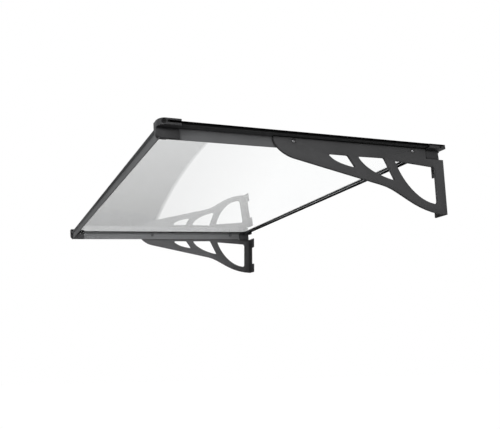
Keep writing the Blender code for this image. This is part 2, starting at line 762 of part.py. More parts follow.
def build_brackets(frame, steel):
    holes = [
        circle(on_roof(reach, -BOLT_DROP), bolt_hole_radius) for reach in (front_bolt_reach, REAR_BOLT_REACH)
    ]
    outline = [(min(y, -FLANGE_THICKNESS / 2), z) for y, z in bracket_outline()]
    plate = prism([outline, *bracket_windows(), *holes], 0, PLATE_THICKNESS, "X")
    bracket = add("right_bracket", plate, steel, frame, (FASCIA_SPAN / 2 + GAP, 0, 0))
    tab_middle = -TAB_WIDTH + TAB_HOLE_INSET
    top = on_roof(0, -notch_drop)[1]
    tab_holes = [
        circle((tab_middle, top - UPPER_TAB_HEIGHT / 2), TAB_HOLE_RADIUS),
        circle((tab_middle, PLATE_BOTTOM + LOWER_TAB_HEIGHT / 2), TAB_HOLE_RADIUS),
    ]
    flange = prism([wall_flange(top), *tab_holes], -FLANGE_THICKNESS, 0, "Y")
    combine(bracket, "bracket_wall_flange", flange, "UNION")
    left = mirrored(bracket, "left_bracket")
    left.data.materials.clear()
    left.data.materials.append(steel)


def bracket_bolt():
    # Button head at +X, shank toward -X, origin under the head.
    grip = PLATE_THICKNESS + FASCIA_WALL + WASHER_THICKNESS + NUT_THICKNESS + 4 * GAP
    dome = [
        (BOLT_HEAD_HEIGHT * math.sin(angle), BOLT_HEAD_RADIUS * math.cos(angle))
        for angle in (math.radians(90 * step / DOME_STEPS) for step in range(DOME_STEPS))
    ]
    return turned(
        [
            (-(grip + BOLT_TIP), 0),
            (-(grip + BOLT_TIP), BOLT_RADIUS),
            (0, BOLT_RADIUS),
            *dome,
            (BOLT_HEAD_HEIGHT, 0),
        ]
    )


def washer():
    inner = bolt_hole_radius
    return turned(
        [(0, inner), (0, WASHER_RADIUS), (WASHER_THICKNESS, WASHER_RADIUS), (WASHER_THICKNESS, inner)]
    )


def nut():
    corners = [
        (NUT_RADIUS * math.cos(math.radians(60 * step)), NUT_RADIUS * math.sin(math.radians(60 * step)))
        for step in range(6)
    ]
    return prism([corners, circle((0, 0), bolt_hole_radius)], 0, NUT_THICKNESS, "X")


def build_bolts(roof, black, zinc):
    half = FASCIA_SPAN / 2
    for end, reach in (("front", front_bolt_reach), ("rear", REAR_BOLT_REACH)):
        for side_name, side in (("right", 1), ("left", -1)):
            turn = 0.0 if side == 1 else math.pi
            seat = half + PLATE_THICKNESS + 2 * GAP
            washer_at = half - FASCIA_WALL - GAP - WASHER_THICKNESS
            nut_at = washer_at - GAP - NUT_THICKNESS
            stack = (
                ("bolt", bracket_bolt(), black, seat),
                ("washer", washer(), zinc, washer_at),
                ("nut", nut(), zinc, nut_at),
            )
            for piece, shape, coat, outward in stack:
                place = (side * outward, -reach, -BOLT_DROP)
                add(f"{end}_{side_name}_{piece}", shape, coat, roof, place, turn)


def build_wall_seal(frame, rubber):
    # Lip seal gripping the rear rail's upper flange, its back face on the wall.
    flange_end = REAR_REACH - REAR_FLANGE_DEPTH
    jaw_tip = flange_end + SEAL_GRIP
    floor = slot_top - GAP
    roof = slot_top + REAR_FLANGE_WALL + GAP
    outline = [
        (0, SHEET_DROP - SEAL_HEIGHT / 2),
        (0, SHEET_DROP + SEAL_HEIGHT / 2),
        (-SEAL_TOP_DEPTH, SHEET_DROP + SEAL_HEIGHT / 2),
        on_roof(jaw_tip, roof + SEAL_JAW_WALL),
        on_roof(jaw_tip, roof),
        on_roof(flange_end - GAP, roof),
        on_roof(flange_end - GAP, floor),
        on_roof(jaw_tip, floor),
        on_roof(jaw_tip, floor - SEAL_JAW_WALL),
        on_roof(flange_end - GAP - SEAL_JAW_WALL, floor - SEAL_JAW_WALL),
    ]
    half = FASCIA_SPAN / 2 - REAR_ARM - GAP
    add("wall_seal", prism([outline], -half, half, "X"), rubber, frame)


def main():
    clear_scene()
    rail_coat = material("rail_powder_coat", (0.085, 0.088, 0.092), 0.42, 0.3)
    bracket_coat = material("bracket_powder_coat", (0.060, 0.061, 0.064), 0.5, 0.2)
    plastic = material("connector_plastic", (0.028, 0.028, 0.030), 0.48, 0.0)
    rubber = material("black_rubber", (0.012, 0.012, 0.012), 0.8, 0.0)
    glass = material("clear_sheet", (0.95, 0.97, 0.97), 0.03, 0.0, 1.0)
    black_bolt = material("black_bolt", (0.05, 0.05, 0.052), 0.25, 0.9)
    zinc = material("zinc_plating", (0.62, 0.63, 0.64), 0.35, 1.0)
    screw_coat = material("screw_black_oxide", (0.035, 0.035, 0.037), 0.35, 0.8)

    frame = empty("canopy_frame", location=(0, 0, -SHEET_DROP))
    roof = empty("roof_slope", frame, tilt=SLOPE)
    build_sheet(roof, glass)
    build_side_rail(roof, "right_side_rail", 1, rail_coat)
    build_side_rail(roof, "left_side_rail", -1, rail_coat)
    build_front_rail(roof, rail_coat)
    build_rear_rail(roof, rail_coat)
    build_gaskets(roof, rubber)
    build_front_connector(roof, plastic)
    build_rear_connector(roof, plastic)
    build_corner_screws(roof, screw_coat)
    build_brackets(frame, bracket_coat)
    build_bolts(roof, black_bolt, zinc)
    build_wall_seal(frame, rubber)


main()
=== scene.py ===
import math

import bmesh
import bpy
from mathutils import Euler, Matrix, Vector


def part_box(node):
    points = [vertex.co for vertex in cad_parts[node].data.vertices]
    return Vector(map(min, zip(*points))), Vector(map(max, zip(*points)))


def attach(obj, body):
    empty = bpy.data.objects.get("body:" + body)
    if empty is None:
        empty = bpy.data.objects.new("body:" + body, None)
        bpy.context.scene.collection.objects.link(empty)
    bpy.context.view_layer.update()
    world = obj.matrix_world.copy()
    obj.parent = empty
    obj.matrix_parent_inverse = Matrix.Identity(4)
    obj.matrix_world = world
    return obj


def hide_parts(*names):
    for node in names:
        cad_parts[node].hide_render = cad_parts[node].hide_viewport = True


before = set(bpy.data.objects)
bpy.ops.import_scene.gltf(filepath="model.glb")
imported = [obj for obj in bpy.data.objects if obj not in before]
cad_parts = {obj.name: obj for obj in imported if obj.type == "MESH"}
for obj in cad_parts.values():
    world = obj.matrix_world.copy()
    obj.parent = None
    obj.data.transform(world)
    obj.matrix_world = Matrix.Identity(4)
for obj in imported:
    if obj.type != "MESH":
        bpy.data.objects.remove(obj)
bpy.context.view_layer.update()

print("canopy frame loaded")

black = (0.0, 0.0, 0.0)


# small helpers for node trees
def freshMaterial(name):
    made = bpy.data.materials.new(name)
    made.use_nodes = True
    tree = made.node_tree
    return made, tree, tree.nodes["Principled BSDF"]


def addNode(tree, kind, settings=None, inputs=None):
    node = tree.nodes.new(kind)
    for key, value in (settings or {}).items():
        setattr(node, key, value)
    for key, value in (inputs or {}).items():
        node.inputs[key].default_value = value
    return node


def mathOn(tree, operation, first, second=0.0, clamp=False):
    # each side is another node's output or a plain number
    node = addNode(tree, "ShaderNodeMath", {"operation": operation, "use_clamp": clamp})
    for socket, value in zip(node.inputs, (first, second)):
        if isinstance(value, float):
            socket.default_value = value
        else:
            tree.links.new(value, socket)
    return node.outputs[0]


def objectCoords(tree, stretch=(1, 1, 1)):
    coords = addNode(tree, "ShaderNodeTexCoord")
    mapping = addNode(tree, "ShaderNodeMapping", inputs={"Scale": stretch})
    tree.links.new(coords.outputs["Object"], mapping.inputs["Vector"])
    return mapping.outputs["Vector"]


def noiseOn(tree, coords, scale, detail=2.0, roughness=0.5):
    sizes = {"Scale": scale, "Detail": detail, "Roughness": roughness}
    node = addNode(tree, "ShaderNodeTexNoise", inputs=sizes)
    tree.links.new(coords, node.inputs["Vector"])
    return node.outputs["Fac"]


def mapTo(tree, source, low, high, fromLow=0.3, fromHigh=0.7):
    # noise lies mostly between 0.3 and 0.7
    spans = {"From Min": fromLow, "From Max": fromHigh, "To Min": low, "To Max": high}
    node = addNode(tree, "ShaderNodeMapRange", inputs=spans)
    tree.links.new(source, node.inputs["Value"])
    return node.outputs["Result"]


def mixColours(tree, amount, first, second):
    node = addNode(tree, "ShaderNodeMix", {"data_type": "RGBA"})
    tree.links.new(amount, node.inputs["Factor"])
    for socket, value in (("A", first), ("B", second)):
        target = next(s for s in node.inputs if s.name == socket and s.type == "RGBA")
        if isinstance(value, tuple):
            target.default_value = (*value, 1.0)
        else:
            tree.links.new(value, target)
    return next(s for s in node.outputs if s.type == "RGBA")


def paintSunkShade(tree, colour, look):
    # painted shade: recesses and inner corners are painted darker than open faces, from an ambient occlusion
    # node
    near = addNode(tree, "ShaderNodeAmbientOcclusion", {"samples": 8}, {"Distance": look["sunkReach"]})
    openness = mathOn(tree, "POWER", near.outputs["AO"], look["sunkDepth"])
    return mixColours(tree, openness, black, colour)


def dressShader(tree, shader, look, colour, roughFrom, heightFrom):
    # every opaque finish ends the same way
    tree.links.new(colour, shader.inputs["Base Color"])
    tree.links.new(mapTo(tree, roughFrom, *look["rough"]), shader.inputs["Roughness"])
    shader.inputs["Metallic"].default_value = look["metallic"]
    shader.inputs["Specular IOR Level"].default_value = look["shine"]
    bump = addNode(tree, "ShaderNodeBump", inputs={"Strength": look["bump"], "Distance": look["bumpDepth"]})
    tree.links.new(heightFrom, bump.inputs["Height"])
    tree.links.new(bump.outputs["Normal"], shader.inputs["Normal"])


# powder coat: fine orange peel, a cloudy shade and small flecks of pigment
railCoatLook = {
    "dark": (0.108, 0.110, 0.112),
    "light": (0.136, 0.138, 0.141),
    "cloud": 14.0,  # this and the other patterns are per metre
    "cloudShare": (0.25, 0.75),
    "fleck": 1100.0,
    "fleckShare": 0.55,
    "fleckFrom": (0.45, 0.75),
    "peel": 420.0,
    "rough": (0.42, 0.54),
    "bump": 0.12,
    "bumpDepth": 0.0004,
    "shine": 0.03,
    "metallic": 0.0,
    "sunkReach": 0.006,  # metres
    "sunkDepth": 1.3,  # more than 1 deepens the painted shade
}
# the front rail gets wider and deeper painted shade in its recesses
frontCoatLook = dict(railCoatLook, sunkReach=0.014, sunkDepth=2.6)
# painted shade: the rear rail's faces that look down keep only a share of the coat's colour
rearCoatLook = dict(railCoatLook, shine=0.0, underShade={"keep": 0.12, "fullBelow": -0.9, "noneAbove": -0.6})
# painted shade along the side rails' outer lip, near black: heights are above the sheet's underside, widths
# are in from the outer face
rimShadeLook = {
    "low": 0.0010,
    "high": 0.0020,
    "top": 0.0080,
    "topFade": 0.0001,
    "wide": 0.0060,
    "fullWide": 0.0042,
    # the painted shade's near-black colour
    "colour": (0.003, 0.003, 0.003),
}
sideCoatLook = dict(railCoatLook, paintedRimShade=rimShadeLook)
plateCoatLook = dict(
    railCoatLook,
    dark=(0.056, 0.056, 0.057),
    light=(0.082, 0.082, 0.084),
    fleck=520.0,
    peel=300.0,
    rough=(0.48, 0.62),
    bump=0.18,
    shine=0.05,
    sunkReach=0.010,
    sunkDepth=1.5,
)
# the roof's fall toward the front, and the sheet's underside at the wall, below the frame's zero
roofTilt = math.radians(4.5)
roofDrop = 0.0135


def paintRimShade(tree, colour, rim):
    # painted shade: the outer lip is painted near black from a little under its corner to just below its
    # flat top
    coords = objectCoords(tree)
    lift = addNode(tree, "ShaderNodeVectorMath", {"operation": "DOT_PRODUCT"})
    tree.links.new(coords, lift.inputs[0])
    lift.inputs[1].default_value = (0.0, -math.sin(roofTilt), math.cos(roofTilt))
    low, high, top = (rim[level] - roofDrop for level in ("low", "high", "top"))
    aboveLow = mapTo(tree, lift.outputs["Value"], 0.0, 1.0, low, high)
    belowTop = mapTo(tree, lift.outputs["Value"], 1.0, 0.0, top, top + rim["topFade"])
    across = addNode(tree, "ShaderNodeSeparateXYZ")
    tree.links.new(coords, across.inputs[0])
    outward = mathOn(tree, "ABSOLUTE", across.outputs["X"])
    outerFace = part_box("right_side_rail")[1][0]
    share = mapTo(tree, outward, 0.0, 1.0, outerFace - rim["wide"], outerFace - rim["fullWide"])
    for band in (aboveLow, belowTop):
        share = mathOn(tree, "MULTIPLY", share, band)
    return mixColours(tree, share, colour, rim["colour"])


def paintUndersideShade(tree, colour, under):
    # painted shade on faces that look down, darker the more they face the floor
    facing = addNode(tree, "ShaderNodeNewGeometry")
    split = addNode(tree, "ShaderNodeSeparateXYZ")
    tree.links.new(facing.outputs["Normal"], split.inputs[0])
    down = mapTo(tree, split.outputs["Z"], 1.0, 0.0, under["fullBelow"], under["noneAbove"])
    return mixColours(tree, mathOn(tree, "MULTIPLY", down, 1.0 - under["keep"]), colour, black)


def powderCoat(name, look):
    made, tree, shader = freshMaterial(name)
    coords = objectCoords(tree)
    cloud = noiseOn(tree, coords, look["cloud"], detail=3.0)
    fleck = noiseOn(tree, coords, look["fleck"], detail=1.0)
    peel = noiseOn(tree, coords, look["peel"], detail=1.5)
    coat = mixColours(tree, mapTo(tree, cloud, *look["cloudShare"]), look["dark"], look["light"])
    flecks = mapTo(tree, fleck, 0.0, look["fleckShare"], *look["fleckFrom"])
    coat = mixColours(tree, flecks, coat, look["light"])
    if "underShade" in look:
        coat = paintUndersideShade(tree, coat, look["underShade"])
    if "paintedRimShade" in look:
        coat = paintRimShade(tree, coat, look["paintedRimShade"])
    dressShader(tree, shader, look, paintSunkShade(tree, coat, look), cloud, peel)
    return made


sideCoat = powderCoat("sideRailPowderCoat", sideCoatLook)
frontCoat = powderCoat("frontRailPowderCoat", frontCoatLook)
rearCoat = powderCoat("rearRailPowderCoat", rearCoatLook)
plateCoat = powderCoat("platePowderCoat", plateCoatLook)

# moulded corner covers: spark-eroded grain, a little greyer where it catches light, with deep painted shade
# in recesses
coverLook = {
    "dark": (0.036, 0.036, 0.037),
    "light": (0.054, 0.054, 0.056),
    "grain": 900.0,
    "cloud": 25.0,
    "rough": (0.42, 0.56),
    "bump": 0.25,
    "bumpDepth": 0.0003,
    "shine": 0.08,
    "metallic": 0.0,
    "sunkReach": 0.008,
    "sunkDepth": 2.6,
}
# gaskets and wall seal: dull black rubber
rubberLook = dict(
    coverLook,
    dark=(0.008, 0.008, 0.008),
    light=(0.016, 0.016, 0.016),
    grain=600.0,
    bump=0.3,
    shine=0.0,
    sunkReach=0.005,
    sunkDepth=1.0,
)


def mouldedPlastic(name, look):
    made, tree, shader = freshMaterial(name)
    coords = objectCoords(tree)
    grain = noiseOn(tree, coords, look["grain"], roughness=0.6)
    cloud = noiseOn(tree, coords, look["cloud"])
    grained = mixColours(tree, mapTo(tree, grain, 0.0, 1.0), look["dark"], look["light"])
    dressShader(tree, shader, look, paintSunkShade(tree, grained, look), cloud, grain)
    return made


coverPlastic = mouldedPlastic("coverPlastic", coverLook)
sealRubber = mouldedPlastic("sealRubber", rubberLook)

# fastener metals: turned marks round the X axis show as fine bands
boltLook = {
    "dark": (0.110, 0.110, 0.113),
    "light": (0.190, 0.190, 0.195),
    "stretch": (3.0, 1.0, 1.0),
    "marks": 700.0,
    "blotch": 120.0,
    "rough": (0.12, 0.20),
    "bump": 0.08,
    "bumpDepth": 0.0002,
    "shine": 0.5,
    "metallic": 0.85,
}
zincLook = dict(
    boltLook,
    dark=(0.09, 0.09, 0.095),
    light=(0.15, 0.15, 0.155),
    rough=(0.40, 0.55),
    metallic=1.0,
)
screwLook = dict(
    boltLook,
    dark=(0.006, 0.006, 0.006),
    light=(0.014, 0.014, 0.014),
    rough=(0.45, 0.60),
    shine=0.1,
    metallic=0.0,
)


def fastenerMetal(name, look):
    made, tree, shader = freshMaterial(name)
    coords = objectCoords(tree, look["stretch"])
    marks = noiseOn(tree, coords, look["marks"], detail=3.0, roughness=0.6)
    blotch = noiseOn(tree, coords, look["blotch"])
    blotched = mixColours(tree, mapTo(tree, blotch, 0.0, 1.0), look["dark"], look["light"])
    dressShader(tree, shader, look, blotched, marks, marks)
    return made


boltBlack = fastenerMetal("boltBlack", boltLook)
zincPlate = fastenerMetal("zincPlate", zincLook)
screwBlack = fastenerMetal("screwBlack", screwLook)

# clear sheet, with a faint haze that varies over the panel
sheetLook = {
    "clear": (0.966, 0.973, 0.973),
    "hazed": (0.946, 0.956, 0.958),
    "cloud": 3.0,
    "rough": (0.0, 0.012),
    "ior": 1.585,  # polycarbonate
}


def clearSheet(name, look):
    made, tree, shader = freshMaterial(name)
    haze = noiseOn(tree, objectCoords(tree), look["cloud"], detail=3.0)
    tint = mixColours(tree, mapTo(tree, haze, 0.0, 1.0), look["clear"], look["hazed"])
    tree.links.new(tint, shader.inputs["Base Color"])
    tree.links.new(mapTo(tree, haze, *look["rough"]), shader.inputs["Roughness"])
    shader.inputs["IOR"].default_value = look["ior"]
    shader.inputs["Transmission Weight"].default_value = 1.0
    return made


sheetClear = clearSheet("sheetClear", sheetLook)
print("finishes made")

nodeFinish = {
    "roof_sheet": sheetClear,
    "right_side_rail": sideCoat,
    "left_side_rail": sideCoat,
    "front_rail": frontCoat,
    "rear_rail": rearCoat,
    "right_gasket": sealRubber,
    "left_gasket": sealRubber,
    "front_gasket": sealRubber,
    "rear_gasket": sealRubber,
    "wall_seal": sealRubber,
    "front_right_washer": zincPlate,
    "front_left_washer": zincPlate,
    "rear_right_washer": zincPlate,
    "rear_left_washer": zincPlate,
    "front_right_nut": zincPlate,
    "front_left_nut": zincPlate,
    "rear_right_nut": zincPlate,
    "rear_left_nut": zincPlate,
}
for nodeName, finish in nodeFinish.items():
    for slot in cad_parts[nodeName].material_slots:
        slot.material = finish
print("frame finishes set")


def plainMesh(worker, name):
    # the object's mesh with its modifiers applied
    bpy.context.view_layer.update()
    graph = bpy.context.evaluated_depsgraph_get()
    mesh = bpy.data.meshes.new_from_object(worker.evaluated_get(graph))
    mesh.name = name
    return mesh


# a finer skin for a moulded or cut piece: the same solid with its edges rounded, angles in degrees
coverEdge = {"width": 0.0007, "segments": 2, "angle": 32, "merge": 0.00002, "flat": 0.8, "sharp": 38}
plateEdge = dict(coverEdge, width=0.0006, angle=40)


def roundedPiece(nodeName, pieceName, edge, finish):
    shape = bmesh.new()
    shape.from_mesh(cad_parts[nodeName].data)
    bmesh.ops.remove_doubles(shape, verts=shape.verts, dist=edge["merge"])
    flat = math.radians(edge["flat"])
    bmesh.ops.dissolve_limit(shape, angle_limit=flat, verts=shape.verts, edges=shape.edges)
    mesh = bpy.data.meshes.new(pieceName)
    shape.to_mesh(mesh)
    shape.free()
    worker = bpy.data.objects.new(pieceName, mesh)
    bpy.context.scene.collection.objects.link(worker)
    bevel = worker.modifiers.new("edge", "BEVEL")
    bevel.width = edge["width"]
    bevel.segments = edge["segments"]
    bevel.limit_method = "ANGLE"
    bevel.angle_limit = math.radians(edge["angle"])
    smooth = plainMesh(worker, pieceName)
    worker.modifiers.clear()
    worker.data = smooth
    smooth.shade_smooth()
    smooth.set_sharp_from_angle(angle=math.radians(edge["sharp"]))
    smooth.materials.clear()
    smooth.materials.append(finish)
    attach(worker, "root")
    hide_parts(nodeName)


for end in ("front", "rear"):
    for side in ("right", "left"):
        pieceName = f"{end}{side.title()}Cover"
        roundedPiece(f"{end}_{side}_connector", pieceName, coverEdge, coverPlastic)
for side in ("right", "left"):
    roundedPiece(f"{side}_bracket", f"{side}BracketPlate", plateEdge, plateCoat)
print("covers and bracket plates rounded")

# fasteners: one tree for each kind, copied to a point per fastener
fastenerFacets = {"head": 28, "headRings": 14, "boltShank": 24, "screwShank": 20, "key": 6}
fastenerSharp = 35  # degrees, steeper edges stay crisp
# shares of the head's height: how far the shank reaches into it, and where the key socket's floor lies
shankOverlap = 0.3
socketFloorShare = 0.35


def makeTree(name, sizes):
    tree = bpy.data.node_groups.new(name, "GeometryNodeTree")
    tree.interface.new_socket(name="Geometry", in_out="OUTPUT", socket_type="NodeSocketGeometry")
    tree.interface.new_socket(name="Seats", in_out="INPUT", socket_type="NodeSocketGeometry")
    for label, value in sizes.items():
        size = tree.interface.new_socket(name=label, in_out="INPUT", socket_type="NodeSocketFloat")
        size.default_value = value
    tree.interface.new_socket(name="Finish", in_out="INPUT", socket_type="NodeSocketMaterial")
    return tree, tree.nodes.new("NodeGroupInput"), tree.nodes.new("NodeGroupOutput")


def lifted(tree, mesh, height):
    lift = addNode(tree, "ShaderNodeCombineXYZ")
    tree.links.new(height, lift.inputs["Z"])
    move = addNode(tree, "GeometryNodeTransform")
    tree.links.new(mesh, move.inputs["Geometry"])
    tree.links.new(lift.outputs[0], move.inputs["Translation"])
    return move.outputs["Geometry"]


def rod(tree, radius, depth, sides, base=0.0):
    # a cylinder that stands on its own end, or on a chosen height
    drum = addNode(tree, "GeometryNodeMeshCylinder", inputs={"Vertices": sides})
    tree.links.new(radius, drum.inputs["Radius"])
    tree.links.new(depth, drum.inputs["Depth"])
    middle = mathOn(tree, "ADD", mathOn(tree, "MULTIPLY", depth, 0.5), base)
    return lifted(tree, drum.outputs["Mesh"], middle)


def boolean(tree, operation, first, others):
    node = addNode(tree, "GeometryNodeMeshBoolean", {"operation": operation, "solver": "EXACT"})
    if operation == "DIFFERENCE":
        tree.links.new(first, node.inputs["Mesh 1"])
        for other in others:
            tree.links.new(other, node.inputs["Mesh 2"])
    else:
        for other in (first, *others):
            tree.links.new(other, node.inputs["Mesh 2"])
    return node.outputs["Mesh"]


def withShank(tree, given, head, headHeight, sides):
    # the shank starts a little inside the head, so that the two join cleanly
    length = given.outputs["Shank length"]
    below = mathOn(tree, "MULTIPLY", length, -1.0)
    reach = mathOn(tree, "ADD", length, mathOn(tree, "MULTIPLY", headHeight, shankOverlap))
    shank = rod(tree, given.outputs["Shank radius"], reach, sides, below)
    return boolean(tree, "UNION", head, [shank])


def seatOnPoints(tree, given, fastener, output):
    turn = addNode(tree, "GeometryNodeInputNamedAttribute", {"data_type": "FLOAT_VECTOR"})
    turn.inputs["Name"].default_value = "turn"
    place = addNode(tree, "GeometryNodeInstanceOnPoints")
    tree.links.new(given.outputs["Seats"], place.inputs["Points"])
    tree.links.new(fastener, place.inputs["Instance"])
    tree.links.new(turn.outputs["Attribute"], place.inputs["Rotation"])
    solid = addNode(tree, "GeometryNodeRealizeInstances")
    coat = addNode(tree, "GeometryNodeSetMaterial")
    tree.links.new(place.outputs["Instances"], solid.inputs["Geometry"])
    tree.links.new(solid.outputs["Geometry"], coat.inputs["Geometry"])
    tree.links.new(given.outputs["Finish"], coat.inputs["Material"])
    tree.links.new(coat.outputs["Geometry"], output.inputs["Geometry"])


def buttonBoltTree(sizes):
    # a flattened ball cut to the crown's height, with a six-sided key socket
    tree, given, output = makeTree("buttonBolts", sizes)
    facets = {"Segments": fastenerFacets["head"], "Rings": fastenerFacets["headRings"]}
    ball = addNode(tree, "GeometryNodeMeshUVSphere", inputs=facets)
    tree.links.new(given.outputs["Head radius"], ball.inputs["Radius"])
    rise = mathOn(tree, "DIVIDE", given.outputs["Head height"], given.outputs["Head radius"])
    squash = addNode(tree, "ShaderNodeCombineXYZ", inputs={"X": 1.0, "Y": 1.0})
    tree.links.new(rise, squash.inputs["Z"])
    flatten = addNode(tree, "GeometryNodeTransform")
    tree.links.new(ball.outputs["Mesh"], flatten.inputs["Geometry"])
    tree.links.new(squash.outputs[0], flatten.inputs["Scale"])
    crown = given.outputs["Crown"]
    drum = rod(tree, given.outputs["Head radius"], crown, fastenerFacets["head"])
    dome = boolean(tree, "INTERSECT", flatten.outputs["Geometry"], [drum])
    whole = withShank(tree, given, dome, crown, fastenerFacets["boltShank"])
    socketFloor = mathOn(tree, "MULTIPLY", crown, socketFloorShare)
    socketRadius = given.outputs["Socket radius"]
    key = rod(tree, socketRadius, given.outputs["Head height"], fastenerFacets["key"], socketFloor)
    seatOnPoints(tree, given, boolean(tree, "DIFFERENCE", whole, [key]), output)
    return tree


def crossScrewTree(sizes):
    # a flat head with a cross cut half its height deep
    tree, given, output = makeTree("crossScrews", sizes)
    headHeight = given.outputs["Head height"]
    head = rod(tree, given.outputs["Head radius"], headHeight, fastenerFacets["head"])
    whole = withShank(tree, given, head, headHeight, fastenerFacets["screwShank"])
    slots = []
    for across, other in (("X", "Y"), ("Y", "X")):
        size = addNode(tree, "ShaderNodeCombineXYZ")
        tree.links.new(given.outputs["Cross span"], size.inputs[across])
        tree.links.new(given.outputs["Cross width"], size.inputs[other])
        tree.links.new(headHeight, size.inputs["Z"])
        bar = addNode(tree, "GeometryNodeMeshCube")
        tree.links.new(size.outputs[0], bar.inputs["Size"])
        slots.append(lifted(tree, bar.outputs["Mesh"], headHeight))
    seatOnPoints(tree, given, boolean(tree, "DIFFERENCE", whole, slots), output)
    return tree


def fastenerSet(pieceName, nodeNames, tree, sizes, finish):
    # one point under each head, turned so that the head faces outward
    seats = bpy.data.meshes.new(pieceName)
    points, turns = [], []
    for nodeName in nodeNames:
        low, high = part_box(nodeName)
        outward = 1 if low[0] > 0 else -1
        tip = high[0] if outward > 0 else low[0]
        seatX = tip - outward * sizes["Head height"]
        points.append((seatX, (low[1] + high[1]) / 2, (low[2] + high[2]) / 2))
        turns.extend((0.0, outward * math.pi / 2, 0.0))
    seats.from_pydata(points, [], [])
    seats.attributes.new("turn", "FLOAT_VECTOR", "POINT").data.foreach_set("vector", turns)
    piece = bpy.data.objects.new(pieceName, seats)
    bpy.context.scene.collection.objects.link(piece)
    grower = piece.modifiers.new("fasteners", "NODES")
    grower.node_group = tree
    sockets = {item.name: item.identifier for item in tree.interface.items_tree if item.in_out == "INPUT"}
    for label, value in sizes.items():
        grower[sockets[label]] = value
    grower[sockets["Finish"]] = finish
    mesh = plainMesh(piece, pieceName)
    piece.modifiers.clear()
    piece.data = mesh
    mesh.shade_smooth()
    mesh.set_sharp_from_angle(angle=math.radians(fastenerSharp))
    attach(piece, "root")
    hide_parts(*nodeNames)


boltSizes = {
    "Head radius": 0.0060,
    "Head height": 0.0034,
    "Crown": 0.0031,  # where the flat top cuts the dome
    "Shank radius": 0.0030,
    "Shank length": 0.0201,
    "Socket radius": 0.0023,
}
boltNodes = [f"{end}_{side}_bolt" for end in ("front", "rear") for side in ("right", "left")]
fastenerSet("buttonBolts", boltNodes, buttonBoltTree(boltSizes), boltSizes, boltBlack)

frontScrewSizes = {
    "Head radius": 0.0058,
    "Head height": 0.0024,
    "Shank radius": 0.0021,
    "Shank length": 0.0320,
    "Cross span": 0.0060,
    "Cross width": 0.0013,
}
rearScrewSizes = {**frontScrewSizes, "Head radius": 0.0040, "Cross span": 0.0044, "Cross width": 0.0010}
for end, sizes in (("front", frontScrewSizes), ("rear", rearScrewSizes)):
    screwNodes = [f"{end}_{side}_screw" for side in ("right", "left")]
    screwTree = crossScrewTree(sizes)
    fastenerSet(f"{end}CrossScrews", screwNodes, screwTree, sizes, screwBlack)
print("bolts and screws seated")

# studio: a pale floor and a white surround, which lights dull faces less from below than from above
studioLook = {
    "floorZ": -2.15,
    "floorSize": 60.0,
    "floorColour": (0.80, 0.80, 0.80),
    "floorShade": 0.985,
    "floorTone": 1.5,
    "floorRough": 0.9,
    "floorGlow": 1.26,
    "glowShare": 0.75,  # the rest of the floor takes light and shows the shadow
    "below": 0.10,
    "above": 0.35,
    "horizonBand": 0.35,
}


def studioMesh(name, points, faces):
    mesh = bpy.data.meshes.new(name)
    mesh.from_pydata(points, [], faces)
    made = bpy.data.objects.new(name, mesh)
    bpy.context.scene.collection.objects.link(made)
    return made


def brightToLens(tree):
    # 1 where a ray comes straight from the lens, or by way of metal or glass
    path = addNode(tree, "ShaderNodeLightPath")
    straight = mathOn(tree, "MAXIMUM", path.outputs["Is Camera Ray"], path.outputs["Is Glossy Ray"])
    return mathOn(tree, "MAXIMUM", straight, path.outputs["Is Transmission Ray"])


def floorFinish():
    made, tree, shader = freshMaterial("paleFloor")
    tone = noiseOn(tree, objectCoords(tree), studioLook["floorTone"])
    pale = studioLook["floorColour"]
    slightlyDarker = tuple(value * studioLook["floorShade"] for value in pale)
    toned = mixColours(tree, mapTo(tree, tone, 0.0, 1.0), pale, slightlyDarker)
    tree.links.new(toned, shader.inputs["Base Color"])
    shader.inputs["Roughness"].default_value = studioLook["floorRough"]
    shader.inputs["Specular IOR Level"].default_value = 0.0
    glow = addNode(tree, "ShaderNodeEmission", inputs={"Strength": studioLook["floorGlow"]})
    glow.inputs["Color"].default_value = (1, 1, 1, 1)
    blend = addNode(tree, "ShaderNodeMixShader")
    share = mathOn(tree, "MULTIPLY", brightToLens(tree), studioLook["glowShare"])
    tree.links.new(share, blend.inputs["Fac"])
    tree.links.new(shader.outputs["BSDF"], blend.inputs[1])
    tree.links.new(glow.outputs["Emission"], blend.inputs[2])
    tree.links.new(blend.outputs["Shader"], tree.nodes["Material Output"].inputs["Surface"])
    return made


half = studioLook["floorSize"] / 2
corners = [(-half, -half), (half, -half), (half, half), (-half, half)]
floor = studioMesh("floor", [(x, y, studioLook["floorZ"]) for x, y in corners], [(0, 1, 2, 3)])
floor.data.materials.append(floorFinish())
floor.visible_diffuse = False  # it throws no light up at the canopy

world = bpy.data.worlds.new("surround")
bpy.context.scene.world = world
world.use_nodes = True
worldTree = world.node_tree
backdrop = worldTree.nodes["Background"]
backdrop.inputs["Color"].default_value = (1, 1, 1, 1)
skyCoords = addNode(worldTree, "ShaderNodeTexCoord")
skySplit = addNode(worldTree, "ShaderNodeSeparateXYZ")
worldTree.links.new(skyCoords.outputs["Generated"], skySplit.inputs[0])
band = studioLook["horizonBand"]
softLight = mapTo(worldTree, skySplit.outputs["Z"], studioLook["below"], studioLook["above"], -band, band)
whiteShare = addNode(worldTree, "ShaderNodeMix", {"data_type": "FLOAT"}, {"B": 1.0})
worldTree.links.new(brightToLens(worldTree), whiteShare.inputs["Factor"])
worldTree.links.new(softLight, whiteShare.inputs["A"])
worldTree.links.new(whiteShare.outputs["Result"], backdrop.inputs["Strength"])

